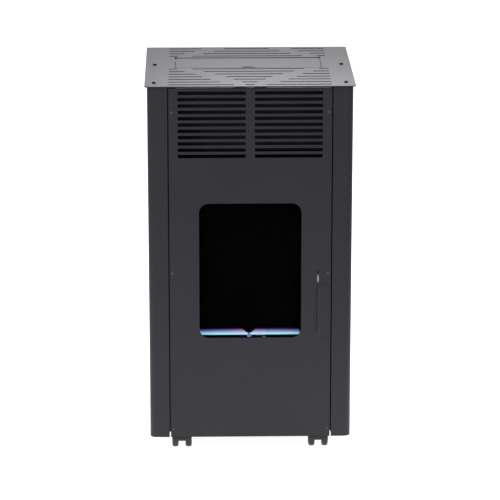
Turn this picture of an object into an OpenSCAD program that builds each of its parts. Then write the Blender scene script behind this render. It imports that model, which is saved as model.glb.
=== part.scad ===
// Free-standing gas heater in the shape of a stove, on four twin-wheel casters.
// X runs to the right, Y to the back and Z up. The origin is on the floor, under the middle of the whole.

/* [Cabinet] */
// Width of the slotted top plate
top_w = 440; // [410:1:500]
// Depth of the slotted top plate
top_d = 400; // [392:1:460]
// Height of the upper face of the top plate over the floor
total_h = 805; // [770:1:880]
// Thickness of the top plate
top_t = 2.5; // [2:0.25:4]
// Reach of the top plate over the door and the side panels
top_overhang = 5; // [3:0.5:9]
// Reach of the top plate over the back of the side panels
rear_overhang = 3; // [2:0.5:6]
// Corner radius at the front of the top plate
top_corner_r = 12; // [4:1:25]
// Corner radius at the back of the top plate
top_rear_r = 3; // [2:1:12]
// Thickness of the folded sheet
sheet_t = 1.5; // [1:0.25:2]
// Height of the lower edge of the panels over the floor
panel_clear = 33; // [30:1:38]
// Radius of the rounded front edges of the side panels
corner_r = 13; // [6:1:20]
// Width of the front face of each side panel
return_w = 41.75; // [37:0.25:46]
// Width of the folded strip at the back of each side panel
rear_return = 18; // [16:1:22]
// Depth of the folds of the door
fold_d = 16.5; // [15:0.5:22]
// Depth of the space between the folds of the door and the inner frame
frame_gap = 5.5; // [4.5:0.5:8]

/* [Top slots] */
// Half lengths of the middle slots, row by row from the front
middle_half = [10.5, 17, 34.5, 49.5, 73, 96.5, 119.5]; // [6:0.5:130]
// Lengths of the side slots, row by row from the front
side_len = [137.5, 109, 90, 72, 58, 35, 20.5]; // [12:0.5:150]
// Width of a slot
slot_w = 6; // [3:0.5:7]
// Distance between rows
slot_pitch = 26; // [22:0.5:28]
// Distance of the outer rows from the edges of the plate
slot_front = 17; // [12:1:22]
// Distance of the side slots from the side edges of the plate
slot_edge = 49; // [44:1:54]
// Distance between the flap and the rows next to it
slot_to_flap = 13; // [9:1:20]

/* [Top screws] */
// Distance of the screws from the side edges of the plate
screw_edge = 19.5; // [16:0.5:24]
// Distance of the front screws from the front edge
screw_front = 34; // [28:1:44]
// Distance of the rear screws from the front edge
screw_rear = 214; // [180:1:260]
// Radius of the screw shank
screw_r = 2; // [1.5:0.25:2.25]
// Radius of the screw heads
screw_head_r = 4.2; // [3.5:0.1:4.5]
// Height of the screw heads
screw_head_h = 3.1; // [2.4:0.1:3.4]

/* [Door] */
// Gap between the door and the side panels
door_gap = 2.75; // [2.5:0.25:6]
// Gap between the door and the top plate
door_top_gap = 3; // [2:0.5:6]
// Number of louvre rows
louvre_rows = 11; // [5:1:12]
// Distance between louvre rows
louvre_pitch = 13.5; // [11:0.5:15]
// Height of a louvre slot
louvre_h = 7.5; // [4:0.5:8]
// Length of a louvre slot
louvre_l = 142; // [110:1:148]
// Width of the web between the two louvre columns
louvre_web = 19; // [12:1:30]
// Distance of the first louvre row from the top of the door
louvre_top = 10; // [9:0.5:16]
// Width of the window
window_w = 216; // [160:1:250]
// Height of the window
window_h = 296; // [200:1:330]
// Height of the lower edge of the window over the floor
window_z = 256; // [246:1:290]
// Corner radius of the window
window_r = 21; // [12:1:40]
// Thickness of the glass
glass_t = 4; // [3:0.5:5]
// Reach of the glass beyond the window
glass_lap = 12; // [10:1:20]
// Thickness of the seal between the door and the glass
seal_t = 2; // [1.5:0.25:3]
// Inset of the hinge pins from the edges of the door
hinge_inset = 7; // [6.5:0.5:8]
// Distance of the hinge pins behind the front face of the door
hinge_depth = 6.2; // [5.6:0.1:7]
// Diameter of the hinge pins
hinge_pin_d = 6; // [5:0.5:6]
// Thickness of the hinge brackets and lugs
bracket_t = 2; // [1.5:0.25:3]

/* [Pull] */
// Width of the pressed pull
pull_w = 26; // [20:1:28]
// Height of the pressed pull
pull_h = 109; // [80:1:130]
// Height of the lower end of the pull over the floor
pull_z = 263; // [240:1:290]
// How far the free edge of the pull stands out
pull_proud = 9; // [6:0.5:14]
// Height of the slope at the upper end of the pull
pull_slope = 6; // [4:0.5:8]
// Corner radius of the pull
pull_r = 12; // [6:1:18]
// Distance of the pull from the edge of the door
pull_inset = 1; // [0.5:0.25:3]
// Length of the peep slot above the pull
peep_l = 28; // [20:1:36]
// Width of the peep slot
peep_w = 4; // [3:0.5:6]

/* [Control flap] */
// Width of the flap
flap_w = 312; // [280:1:316]
// Depth of the flap
flap_d = 96; // [90:1:110]
// Gap beside the flap
flap_gap = 1; // [0.5:0.25:1.5]
// Gap behind the flap
flap_rear_gap = 7; // [4:0.5:8]
// Width of the finger notch
notch_w = 35; // [25:1:45]
// Depth of the finger notch
notch_d = 9; // [6:0.5:12]
// Diameter of the flap pins
flap_pin_d = 4; // [3:0.5:4]
// Depth of the control tray under the top plate
control_depth = 46; // [42:1:60]

/* [Controls] */
// Diameter of the control knob
knob_d = 46; // [36:1:52]
// Height of the control knob
knob_h = 24; // [18:1:26]
// Distance of the knob from the middle
knob_x = 62; // [50:1:80]
// Distance of the igniter button from the middle
button_x = 70; // [50:1:90]
// Diameter of the valve spindle
spindle_d = 8; // [6:0.5:9]
// Travel of the spindle when the knob is pressed
spindle_travel = 4; // [3:0.5:5]
// Diameter of the igniter button
button_d = 10; // [8:0.5:11]
// Travel of the igniter button
button_travel = 5; // [3:0.5:6]
// Diameter of the thread of the gas inlet
inlet_d = 13.157; // [9:0.001:17]
// Length of the thread of the gas inlet
inlet_l = 12; // [9:1:16]

/* [Firebox] */
// Distance of the sides of the firebox from the edges of the door
firebox_inset = 15.5; // [13:0.5:17]
// Depth of the space between the inner frame and the bay wall
chamber_d = 65; // [62:1:75]
// Gap between the firebox and the bay wall
firebox_gap = 12; // [8:1:14]
// Height of the firebox floor over the floor of the room
firebox_z = 222; // [216:1:226]
// Length of the burner
burner_l = 228; // [180:2:240]
// Width of the burner
burner_w = 32; // [26:1:34]
// Height of the burner ports over the firebox floor
burner_h = 28; // [24:1:30]
// Length of one burner port
port_l = 14; // [10:1:18]
// Width of one burner port
port_w = 2.2; // [1.2:0.2:3]
// Distance between burner ports
port_pitch = 5; // [4:0.5:8]
// Width of the plain strip in the middle of the ports
port_web = 12; // [8:1:30]
// Diameter of the mixing tube
mix_d = 22; // [18:1:24]
// Diameter of the gas pipe
gas_pipe_d = 8; // [6:1:10]
// Diameter of the pilot pipe
pilot_pipe_d = 4; // [3:0.5:5]
// Diameter of the thermocouple lead
thermo_d = 3; // [2:0.5:4]
// Diameter of the ignition lead
ignition_d = 4; // [3:0.5:5]

/* [Base] */
// Height of the casters
caster_h = 50; // [48:1:56]
// Diameter of the caster wheels
wheel_d = 40; // [34:1:42]
// Width of one caster wheel
wheel_w = 13.5; // [10:0.5:15]
// Diameter of the caster axles
axle_d = 6; // [5:0.5:8]
// Diameter of the king pins
king_d = 8; // [6:0.5:9]
// Distance from the king pin to the axle
caster_trail = 18; // [16:0.5:20]
// Distance of the king pins from the sides of the body
caster_side = 68; // [66:1:90]
// Distance of the king pins from the front and back edges of the top plate
caster_end = 58; // [56:1:80]
// Side of the square caster plate
caster_plate = 38; // [34:1:44]
// Height of the raised edges of the tray
tray_edge = 30; // [20:1:45]
// Side of the raised square field on which the gas bottle stands
field_w = 240; // [200:1:260]
// Height of the raised field
field_h = 1.2; // [0.6:0.1:1.2]

/* [Rear cover] */
// Gap between the rear cover and the sides of the body
cover_side = 3; // [2:0.5:5]
// Height of the lower edge of the rear cover over the floor
cover_z = 62; // [50:1:80]
// Lift that frees the hooks of the rear cover
cover_lift = 11; // [9:0.5:12]

/* [Hidden] */
$fn = 48;

// Colours
anthracite = [0.23, 0.23, 0.24];
black = [0.08, 0.08, 0.08];
glass_black = [0.03, 0.03, 0.04, 0.8];
grey_rope = [0.45, 0.44, 0.42];
bare_steel = [0.62, 0.62, 0.62];
stainless = [0.72, 0.72, 0.70];
brass = [0.78, 0.63, 0.33];
copper = [0.72, 0.45, 0.30];
ceramic = [0.90, 0.89, 0.85];
red_plastic = [0.60, 0.10, 0.08];

// Clearances
fit = 0.05; // running fit, on the radius
rest_gap = 0.2; // between a moving piece and what it rests on
slide_gap = 0.3; // between flat faces that slide past each other

// Main planes
pull_reach = max(0, pull_proud - top_overhang);
total_d = top_d + pull_reach;
plate_y0 = pull_reach - total_d / 2;
plate_y1 = total_d / 2;
front_y = plate_y0 + top_overhang;
rear_y = plate_y1 - rear_overhang;
side_x = top_w / 2 - top_overhang;
inner_x = side_x - sheet_t;
plate_z = total_h - top_t;
return_x = side_x - return_w;
door_x = return_x - door_gap;
door_z1 = plate_z - door_top_gap;
fold_y = front_y + fold_d;
frame_y = fold_y + frame_gap;
stop_in = 1;
stop_x = door_x - stop_in;
inside_y = front_y + sheet_t;

// Top plate and flap
slot_rows = len(middle_half);
slot_outer_x = top_w / 2 - slot_edge;
flap_s = slot_front + (slot_rows - 1) * slot_pitch + slot_to_flap;
flap_y0 = plate_y0 + flap_s;
flap_y1 = flap_y0 + flap_d;
open_w = flap_w + 2 * flap_gap;
open_y0 = flap_y0 - 2 * flap_gap;
open_y1 = flap_y1 + flap_rear_gap;
rear_rows = floor((plate_y1 - slot_front - open_y1 - slot_to_flap) / slot_pitch) + 1;
flap_corner_r = 6;
relief_d = 8;
screw_x = top_w / 2 - screw_edge;
screw_ys = [plate_y0 + screw_front, plate_y0 + screw_rear];
screw_clear = 0.1;
screw_l = 12;
screw_recess = [4.4, 1, 1.6];
tab_l = 30;

// Hinge of the flap
flap_pin_drop = 6;
flap_pin_in = 3.5;
flap_pin_y = flap_y1 - flap_pin_in;
flap_pin_z = total_h - flap_pin_drop;
ear_drop = 4.5;
ear_front = 6;
ear_inset = 2.5;

// Control tray, knob and igniter
control_z0 = plate_z - control_depth;
control_floor = control_z0 + sheet_t;
tray_in = 1;
tray_y0 = flap_y0 + tray_in;
tray_y1 = open_y1 + sheet_t;
tray_x = open_w / 2 + sheet_t;
tray_flange = 20;
tray_flange_gap = 12;
finger_side = 6;
finger_drop = 16;
control_y = (tray_y0 + tray_y1) / 2;
knob_base_h = 8;
bushing_d = spindle_d + 4;
bushing_h = 3;
knob_z = control_floor + bushing_h + spindle_travel + 1;
spindle_grip = knob_h - 6;
button_rise = button_travel + 1;
igniter_d = button_d + 8;
igniter_neck_d = button_d + 6;
igniter_rim = 3;
igniter_l = 42;
igniter_bore = 22;

// Valve under the tray
valve_w = 48;
valve_l = 36;
valve_h = 48;
valve_cap_d = 20;
valve_cap_h = 5;
spindle_bore = 12;
pipe_seat = 3;
valve_flange_h = 6;
valve_flange_d = 40;
valve_z0 = control_z0 - valve_flange_h - valve_h;
valve_port_rise = 28;
valve_side_rise = 8;
valve_port_z = valve_z0 + valve_port_rise;
valve_side_z = valve_z0 + valve_side_rise;
valve_port_d = 16;
valve_port_l = 8;
side_port_y = 8;
side_port_d = 9;
side_port_l = 5;
nipple_hex = 17;
nipple_hex_l = 8;

// Bay wall, firebox and hood
wall_y = frame_y + chamber_d;
wall_drop = 12;
wall_z1 = control_z0 - wall_drop;
wall_flange = 15;
firebox_x = door_x - firebox_inset;
firebox_w = 2 * firebox_x;
firebox_back = wall_y - firebox_gap;
flange_gap = 2;
firebox_flange = firebox_inset - flange_gap;
firebox_lip = 12;
louvre_z0 = door_z1 - louvre_top - (louvre_rows - 1) * louvre_pitch;
louvre_r = 1.5;
firebox_z1 = louvre_z0 - louvre_h / 2 - 1;
rail_h = 12;
rail_d = 16;
rail_z1 = plate_z - sheet_t;
rail_z0 = rail_z1 - rail_h;
hood_bend = 56;

// Burner and pilot
floor_top = firebox_z + sheet_t;
burner_back = 2;
burner_y1 = firebox_back - sheet_t - burner_back;
burner_y = burner_y1 - burner_w / 2;
burner_z1 = floor_top + burner_h - sheet_t;
burner_rise = 4;
burner_z0 = floor_top + burner_rise;
feet_edge = 22;
feet_w = 16;
feet_t = 2;
mix_drop = 20;
mix_z0 = firebox_z - mix_drop;
mix_wall = 1.5;
nozzle_d = 8;
nozzle_l = 6;
injector_hex = 14;
injector_h = 12;
pilot_y = (frame_y + burner_y - burner_w / 2) / 2;
pilot_rise = 17;
pilot_z = floor_top + pilot_rise;
pilot_d = 8;
pilot_h = 10;
pilot_side = 9;
pilot_depth = 12;
pilot_foot = 8;
probe_d = 5;
probe_h = 13;
probe_x = -16;
electrode_x = 30;
electrode_d = 7;
electrode_h = 8;

// Lines in the space beside the firebox
line_in = 20;
line_out = 10;
line_y = wall_y - line_in;
line_x = firebox_x + firebox_flange + line_out;
line_step = 8;
lead_step = 6;
under_drop = 10;
under_z = firebox_z - under_drop;
pilot_line_out = 14;
thermo_line_out = 28;
lead_drop = 10;
cross_y = burner_y - mix_d / 2 - 1.5 - pilot_pipe_d / 2;
small_bend = min(5, (cross_y - pilot_y - 0.2) / 2);
gas_bend = 12;
gas_line_x = -(firebox_x + firebox_flange + inner_x) / 2;
gas_turn = 42;
gas_low_z = mix_z0 - injector_h - gas_bend;
line_hole_spare = 18;
line_hole_l = 2 * line_step + line_hole_spare;
line_hole_h = 26;

// Door details
door_w = 2 * door_x;
door_h = door_z1 - panel_clear;
hinge_x = -door_x + hinge_inset;
hinge_y = front_y + hinge_depth;
tray_top = caster_h + sheet_t;
collar_h = 1.7;
collar_d = hinge_pin_d + 2.5;
lug_z0 = tray_top + bracket_t + collar_h + rest_gap;
upper_bracket_z = rail_z0 - bracket_t;
lug_z1 = upper_bracket_z - collar_h - rest_gap;
lug_l = 6.5;
bracket_foot = 26;
bracket_side = 28;
hem_d = 6;
hem_start = 15;
peep_gap = 5.5;
peep_x = door_x - pull_inset - pull_w;
peep_z = pull_z + pull_h + peep_gap + peep_l / 2;
bead_l = peep_l - 7;
bead_r = (peep_w - 1) / 2;
bead_proud = 0.8;
glass_w = window_w + 2 * glass_lap;
glass_h = window_h + 2 * glass_lap;
glass_z0 = window_z - glass_lap;
glass_r = 6;
seal_w = 8;
glass_y = inside_y + seal_t;
glass_back = glass_y + glass_t;
clip_l = 30;
clip_foot = 12;
clip_arm = 7;
strike_w = 18;
strike_h = 40;
strike_rise = 20;
strike_z = peep_z + peep_l / 2 + strike_rise;
strike_y = fold_y - 6;
foot_edge = 6;
foot_t = 1;
magnet_w = 12;
magnet_h = 30;
magnet_groove = 9;

// Tray and casters
lip_h = 5;
fold_z0 = panel_clear + 5;
vent_l = 60;
vent_w = 8;
front_vent_l = 48;
vent_pitch = inner_x / 6;
field_r = 20;
field_y = (wall_y + rear_y) / 2;
king_x = side_x - caster_side;
king_ys = [plate_y0 + caster_end, plate_y1 - caster_end + caster_trail];
caster_plate_t = 2;
web_w = king_d + 6;
hood_gap = 1.5;
hood_t = 2;
hood_r = wheel_d / 2 + hood_gap + hood_t;
wheel_side = 0.5;
hood_w = web_w + 2 * wheel_side + 2 * wheel_w;
swivel_gap = 0.5;
swivel_top = caster_h - caster_plate_t - swivel_gap;
pin_z0 = wheel_d / 2 - 2;
boss_r = axle_d / 2 + 3.5;

// Rear cover
cover_x = side_x - cover_side;
cover_y = rear_y + slide_gap;
cover_z1 = plate_z - cover_lift - 1.5;
cover_slot_edge = 40;
cover_slot_gap = 20;
hook_x = side_x - rear_return / 2;
hook_w = 4;
hook_h = 4;
hook_drop = cover_lift - 2;
hook_slot_w = hook_w + 3;
hook_zs = [for (k = [0.15, 0.85]) cover_z + k * (cover_z1 - cover_z)];
cover_flange = 12;
cover_rows = 6;
cover_pitch = 16;
cover_slot = [96, 6];

CORNERS = ["front_left", "front_right", "rear_left", "rear_right"];
CASTER_PIECES = ["plate", "hood", "axle", "wheel_left", "wheel_right"];

// Basic shapes

// Straight slot with round ends, long in X
module slot2d(l, w) {
    square([l - w, w], center = true);
    for (s = [-1, 1])
        translate([s * (l - w) / 2, 0]) circle(d = w);
}

// Rectangle with round corners
module round_rect(w, h, r) {
    square([w - 2 * r, h], center = true);
    square([w, h - 2 * r], center = true);
    for (sx = [-1, 1], sy = [-1, 1])
        translate([sx * (w / 2 - r), sy * (h / 2 - r)]) circle(r = r);
}

// Stands a flat shape upright, facing the front, with its back face at y and a thickness of t
module upright(y, t) {
    translate([0, y + t, 0]) rotate([90, 0, 0]) linear_extrude(t) children();
}

// Draws a side view, Y to the right and Z up, as a body from x0 to x1
module across(x0, x1) {
    translate([x0, 0, 0]) rotate([90, 0, 90]) linear_extrude(x1 - x0) children();
}

function direction(a, b) = (b - a) / norm(b - a);

// Straight rod from a to b, along one of the axes
module rod(a, b, d) {
    u = direction(a, b);
    v = abs(u.z) > 0.5 ? [1, 0, 0] : [0, 0, 1];
    w = cross(u, v);
    multmatrix([[v.x, w.x, u.x, a.x], [v.y, w.y, u.y, a.y], [v.z, w.z, u.z, a.z], [0, 0, 0, 1]])
        mirror([0, 1, 0]) cylinder(d = d, h = norm(b - a));
}

// Quarter bend at a corner p, between the directions u and v
module elbow(p, u, v, d, r) {
    x = -v;
    z = cross(x, u);
    c = p - r * u + r * v;
    multmatrix([[x.x, u.x, z.x, c.x], [x.y, u.y, z.y, c.y], [x.z, u.z, z.z, c.z], [0, 0, 0, 1]])
        rotate_extrude(angle = 90) translate([r, 0]) circle(d = d);
}

// Pipe through a list of points, whose legs run along the axes
module pipe_run(pts, d, r) {
    last = len(pts) - 1;
    for (i = [0 : last - 1]) {
        u = direction(pts[i], pts[i + 1]);
        rod(pts[i] + (i > 0 ? r : 0) * u, pts[i + 1] - (i < last - 1 ? r : 0) * u, d);
    }
    for (i = [1 : last - 1])
        elbow(pts[i], direction(pts[i - 1], pts[i]), direction(pts[i], pts[i + 1]), d, r);
}

// Top plate and its screws

module plate_outline() {
    front_mid = plate_y0 + top_corner_r;
    rear_mid = plate_y1 - top_rear_r;
    translate([-top_w / 2, front_mid]) square([top_w, rear_mid - front_mid]);
    translate([top_corner_r - top_w / 2, plate_y0]) square([top_w - 2 * top_corner_r, top_corner_r]);
    translate([top_rear_r - top_w / 2, rear_mid]) square([top_w - 2 * top_rear_r, top_rear_r]);
    for (s = [-1, 1]) {
        translate([s * (top_w / 2 - top_corner_r), front_mid]) circle(r = top_corner_r);
        translate([s * (top_w / 2 - top_rear_r), rear_mid]) circle(r = top_rear_r);
    }
}

// One row: a middle slot that grows towards the flap, and two side slots that shrink
module slot_row(i) {
    slot2d(2 * middle_half[i], slot_w);
    for (s = [-1, 1])
        translate([s * (slot_outer_x - side_len[i] / 2), 0]) slot2d(side_len[i], slot_w);
}

module slot_field() {
    for (i = [0 : slot_rows - 1])
        translate([0, plate_y0 + slot_front + i * slot_pitch]) slot_row(i);
    for (j = [0 : rear_rows - 1])
        translate([0, plate_y1 - slot_front - j * slot_pitch]) slot_row(slot_rows - rear_rows + j);
}

module top_plate() {
    color(anthracite)
    difference() {
        translate([0, 0, plate_z]) linear_extrude(top_t) difference() {
            plate_outline();
            slot_field();
            translate([-open_w / 2, open_y0]) square([open_w, open_y1 - open_y0]);
            for (s = [-1, 1])
                translate([s * open_w / 2, open_y1]) circle(d = relief_d);
        }
        for (s = [-1, 1], y = screw_ys)
            translate([s * screw_x, y, plate_z - 1]) cylinder(r = screw_r + screw_clear, h = top_t + 2);
    }
}

// Screws with domed heads and a cross recess
module top_screws() {
    cap_h = screw_head_h / 2;
    cap_r = (screw_head_r * screw_head_r + cap_h * cap_h) / (2 * cap_h);
    color(black)
    for (s = [-1, 1], y = screw_ys)
        translate([s * screw_x, y, total_h]) difference() {
            union() {
                intersection() {
                    cylinder(r = screw_head_r, h = screw_head_h + 1);
                    translate([0, 0, screw_head_h - cap_r]) sphere(r = cap_r);
                }
                translate([0, 0, -screw_l]) cylinder(r = screw_r - screw_clear, h = screw_l + 0.5);
            }
            for (a = [0, 90])
                rotate(a) translate([-screw_recess.x / 2, -screw_recess.y / 2, screw_head_h - screw_recess.z])
                    cube([screw_recess.x, screw_recess.y, screw_recess.z + 1]);
        }
}

// Side panels, tray and frame

// Right-hand side panel
module side_panel() {
    hook_slot_h = cover_lift + hook_h + 1;
    difference() {
        union() {
            translate([0, 0, panel_clear]) linear_extrude(plate_z - panel_clear) {
                translate([inner_x, front_y + corner_r])
                    square([sheet_t, rear_y - front_y - corner_r]);
                translate([side_x - corner_r, front_y + corner_r]) intersection() {
                    difference() {
                        circle(r = corner_r);
                        circle(r = corner_r - sheet_t);
                    }
                    translate([0, -corner_r]) square(corner_r);
                }
                translate([return_x, front_y]) square([return_w - corner_r, sheet_t]);
                translate([side_x - rear_return, rear_y - sheet_t]) square([rear_return, sheet_t]);
            }
            // Fold beside the door, and the stop behind the gap
            translate([0, 0, fold_z0]) linear_extrude(plate_z - fold_z0) {
                translate([return_x, front_y]) square([sheet_t, frame_y - front_y]);
                translate([stop_x, frame_y - sheet_t]) square([return_x + sheet_t - stop_x, sheet_t]);
            }
            for (y = screw_ys)
                translate([screw_x - 8, y - tab_l / 2, rail_z1])
                    cube([inner_x - screw_x + 8, tab_l, sheet_t]);
        }
        for (y = screw_ys)
            translate([screw_x, y, rail_z1 - 1]) cylinder(r = screw_r + screw_clear, h = sheet_t + 2);
        for (z = hook_zs)
            translate([hook_x - hook_slot_w / 2, rear_y - sheet_t - 1, z - rest_gap])
                cube([hook_slot_w, sheet_t + 2, hook_slot_h]);
    }
}

module side_panel_left() {
    color(anthracite) mirror([1, 0, 0]) side_panel();
}

module side_panel_right() {
    color(anthracite) side_panel();
}

module base_tray() {
    rear_in = rear_y - sheet_t;
    color(anthracite)
    difference() {
        union() {
            translate([-inner_x, frame_y, caster_h]) cube([2 * inner_x, rear_in - frame_y, sheet_t]);
            translate([-inner_x, frame_y, caster_h - lip_h]) cube([2 * inner_x, sheet_t, lip_h]);
            translate([-inner_x, rear_in - sheet_t, caster_h]) cube([2 * inner_x, sheet_t, tray_edge]);
            for (s = [0, 1]) mirror([s, 0, 0])
                translate([inner_x - sheet_t, frame_y, caster_h])
                    cube([sheet_t, rear_in - frame_y, tray_edge]);
            translate([0, field_y, caster_h]) linear_extrude(sheet_t + field_h)
                round_rect(field_w, field_w, field_r);
        }
        // Hollow below the raised field
        translate([0, field_y, caster_h - 1]) linear_extrude(field_h + 1)
            round_rect(field_w - 2 * sheet_t, field_w - 2 * sheet_t, field_r - sheet_t);
        // Air slots under the burner and in the floor of the bottle bay
        for (i = [-2.5 : 2.5], y = [(frame_y + wall_y) / 2 - 2, field_y])
            translate([i * vent_pitch, y, caster_h - 1]) rotate(90) linear_extrude(sheet_t + field_h + 2)
                slot2d(y < wall_y ? front_vent_l : vent_l, vent_w);
    }
}

module bay_wall() {
    wall_x = inner_x - sheet_t;
    color(anthracite)
    difference() {
        union() {
            translate([-wall_x, wall_y, tray_top]) cube([2 * wall_x, sheet_t, wall_z1 - tray_top]);
            translate([-wall_x, wall_y, tray_top]) cube([2 * wall_x, wall_flange, sheet_t]);
            translate([-wall_x, wall_y, wall_z1 - sheet_t]) cube([2 * wall_x, wall_flange, sheet_t]);
            for (s = [0, 1]) mirror([s, 0, 0])
                translate([wall_x - sheet_t, wall_y, tray_top])
                    cube([sheet_t, wall_flange, wall_z1 - tray_top]);
        }
        translate([gas_line_x, wall_y - 1, valve_port_z]) rotate([-90, 0, 0])
            cylinder(d = gas_pipe_d + 6, h = sheet_t + 2);
        upright(wall_y - 1, sheet_t + 2) translate([line_x + line_step, valve_side_z - 5])
            round_rect(line_hole_l, line_hole_h, 5);
    }
}

module front_rail() {
    color(anthracite) {
        translate([-inner_x, frame_y, rail_z0]) cube([2 * inner_x, sheet_t, rail_h]);
        translate([-inner_x, frame_y, rail_z0]) cube([2 * inner_x, rail_d, sheet_t]);
    }
}

module rear_cover() {
    color(anthracite)
    difference() {
        union() {
            translate([-cover_x, cover_y, cover_z]) cube([2 * cover_x, sheet_t, cover_z1 - cover_z]);
            translate([cover_flange - hook_x, cover_y - cover_flange, cover_z1 - sheet_t])
                cube([2 * (hook_x - cover_flange), cover_flange + sheet_t, sheet_t]);
            for (s = [-1, 1], z = hook_zs) translate([s * hook_x - hook_w / 2, 0, z]) {
                leg_y = rear_y - sheet_t - slide_gap - sheet_t;
                translate([0, leg_y, 0]) cube([hook_w, cover_y - leg_y, hook_h]);
                translate([0, leg_y, -hook_drop]) cube([hook_w, sheet_t, hook_drop + hook_h]);
            }
        }
        for (z0 = [cover_z + cover_slot_edge, cover_z1 - cover_slot_edge - (cover_rows - 1) * cover_pitch])
            upright(cover_y - 1, sheet_t + 2)
                for (i = [0 : cover_rows - 1], c = [-1 : 1])
                    translate([c * (cover_slot.x + cover_slot_gap), z0 + i * cover_pitch])
                        slot2d(cover_slot.x, cover_slot.y);
    }
}

// Hinge of the door

// Plan of a hinge bracket: a nose round the pin and an arm that leaves room for the turning door
module bracket_plan(base_d) {
    arm_w = -firebox_x - hinge_x;
    translate([hinge_x, hinge_y]) circle(r = hinge_depth - sheet_t - 0.5);
    translate([hinge_x - 1, hinge_y]) square([arm_w, frame_y + base_d - hinge_y]);
    translate([hinge_x - bracket_side, frame_y]) square([bracket_side - 1 + arm_w, base_d]);
}

module hinge_bracket(z, base_d) {
    color(bare_steel)
    difference() {
        translate([0, 0, z]) linear_extrude(bracket_t) bracket_plan(base_d);
        translate([hinge_x, hinge_y, z - 1]) cylinder(d = hinge_pin_d + 2 * fit, h = bracket_t + 2);
    }
}

module hinge_bracket_lower() hinge_bracket(tray_top, bracket_foot);

module hinge_bracket_upper() hinge_bracket(upper_bracket_z, rail_d);

module door_hinge_pins() {
    color(bare_steel)
    for (up = [0, 1]) {
        // The lower pin stands up from its bracket and the upper one hangs down
        z = up ? upper_bracket_z : tray_top + bracket_t;
        translate([hinge_x, hinge_y, z]) mirror([0, 0, up]) {
            translate([0, 0, -bracket_t - 1.5]) cylinder(d = hinge_pin_d + 2, h = 1.5);
            translate([0, 0, -bracket_t - 1]) cylinder(d = hinge_pin_d, h = bracket_t + collar_h + 7);
            cylinder(d = collar_d, h = collar_h);
        }
    }
}

module magnet_catch() {
    y0 = strike_y + slide_gap;
    color(black)
    translate([door_x - sheet_t - (strike_w + magnet_w) / 2, y0, strike_z + (strike_h - magnet_h) / 2])
        difference() {
            cube([magnet_w, frame_y - y0, magnet_h]);
            for (z = [magnet_groove, magnet_h - magnet_groove])
                translate([-1, -1, z]) cube([magnet_w + 2, 2, 2]);
        }
}

// Door

module louvre_field() {
    for (i = [0 : louvre_rows - 1], s = [-1, 1])
        translate([s * (louvre_web + louvre_l) / 2, louvre_z0 + i * louvre_pitch])
            round_rect(louvre_l, louvre_h, louvre_r);
}

// Front view of the pull: straight at its free edge, rounded at the edge of the door
module pull_outline(inset = 0) {
    x0 = peep_x;
    w = pull_w - 2 * inset;
    h = pull_h - 2 * inset;
    r = pull_r - inset;
    translate([x0 + inset, pull_z + inset]) {
        square([w - r, h]);
        translate([0, r]) square([w, h - 2 * r]);
        for (z = [r, h - r])
            translate([w - r, z]) circle(r = r);
    }
}

module hinge_lug(z) {
    translate([-door_x, front_y, z]) cube([hinge_inset + lug_l, hinge_inset + lug_l, bracket_t]);
}

module door_panel() {
    lug_top = lug_z1 - bracket_t;
    color(anthracite)
    difference() {
        union() {
            translate([-door_x, front_y, panel_clear]) cube([door_w, sheet_t, door_h]);
            for (s = [0, 1]) mirror([s, 0, 0])
                translate([door_x - sheet_t, front_y, lug_z0]) cube([sheet_t, fold_d, lug_z1 - lug_z0]);
            translate([-door_x + hem_start, front_y, door_z1 - sheet_t])
                cube([door_w - hem_start - sheet_t, fold_d, sheet_t]);
            translate([-door_x + hem_start, front_y, panel_clear])
                cube([door_w - hem_start - sheet_t, hem_d, sheet_t]);
            hinge_lug(lug_z0);
            hinge_lug(lug_top);
        }
        upright(front_y - 1, sheet_t + 2) {
            louvre_field();
            translate([0, window_z + window_h / 2]) round_rect(window_w, window_h, window_r);
            pull_outline(sheet_t);
            translate([peep_x, peep_z]) rotate(90) slot2d(peep_l, peep_w);
        }
        for (z = [lug_z0, lug_top])
            translate([hinge_x, hinge_y, z - 1]) cylinder(d = hinge_pin_d + 2 * fit, h = bracket_t + 2);
    }
}

// Bulge of the pull, seen from above: highest at the free edge and flush at the edge of the door
module pull_bulge(drop) {
    r = (pull_w * pull_w + pull_proud * pull_proud) / (2 * pull_proud);
    translate([peep_x, front_y - pull_proud + r]) circle(r = r - drop, $fn = 96);
}

// Side view of the pull, drop below its sloping upper end and over by spare on both sides
module pull_side(drop, spare) {
    rise = spare * pull_slope / pull_proud;
    y0 = front_y - pull_proud - spare;
    z1 = pull_z + pull_h - drop;
    polygon([[y0, pull_z], [front_y + spare, pull_z], [front_y + spare, z1 + rise],
             [y0, z1 - pull_slope - rise]]);
}

module door_pull() {
    slope_drop = sheet_t * sqrt(pull_proud * pull_proud + pull_slope * pull_slope) / pull_proud;
    color(anthracite)
    difference() {
        intersection() {
            linear_extrude(total_h) intersection() {
                pull_bulge(0);
                translate([0, front_y - pull_proud]) square([door_x, pull_proud]);
            }
            upright(front_y - pull_proud, pull_proud) pull_outline();
            across(0, door_x) pull_side(0, 0);
        }
        intersection() {
            linear_extrude(total_h) pull_bulge(sheet_t);
            across(0, door_x) pull_side(slope_drop, 2);
            upright(front_y - pull_proud - 1, pull_proud + 2) {
                pull_outline(sheet_t);
                translate([peep_x - 1, pull_z + sheet_t]) square([pull_w / 2, pull_h - 2 * sheet_t]);
            }
        }
    }
}

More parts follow.
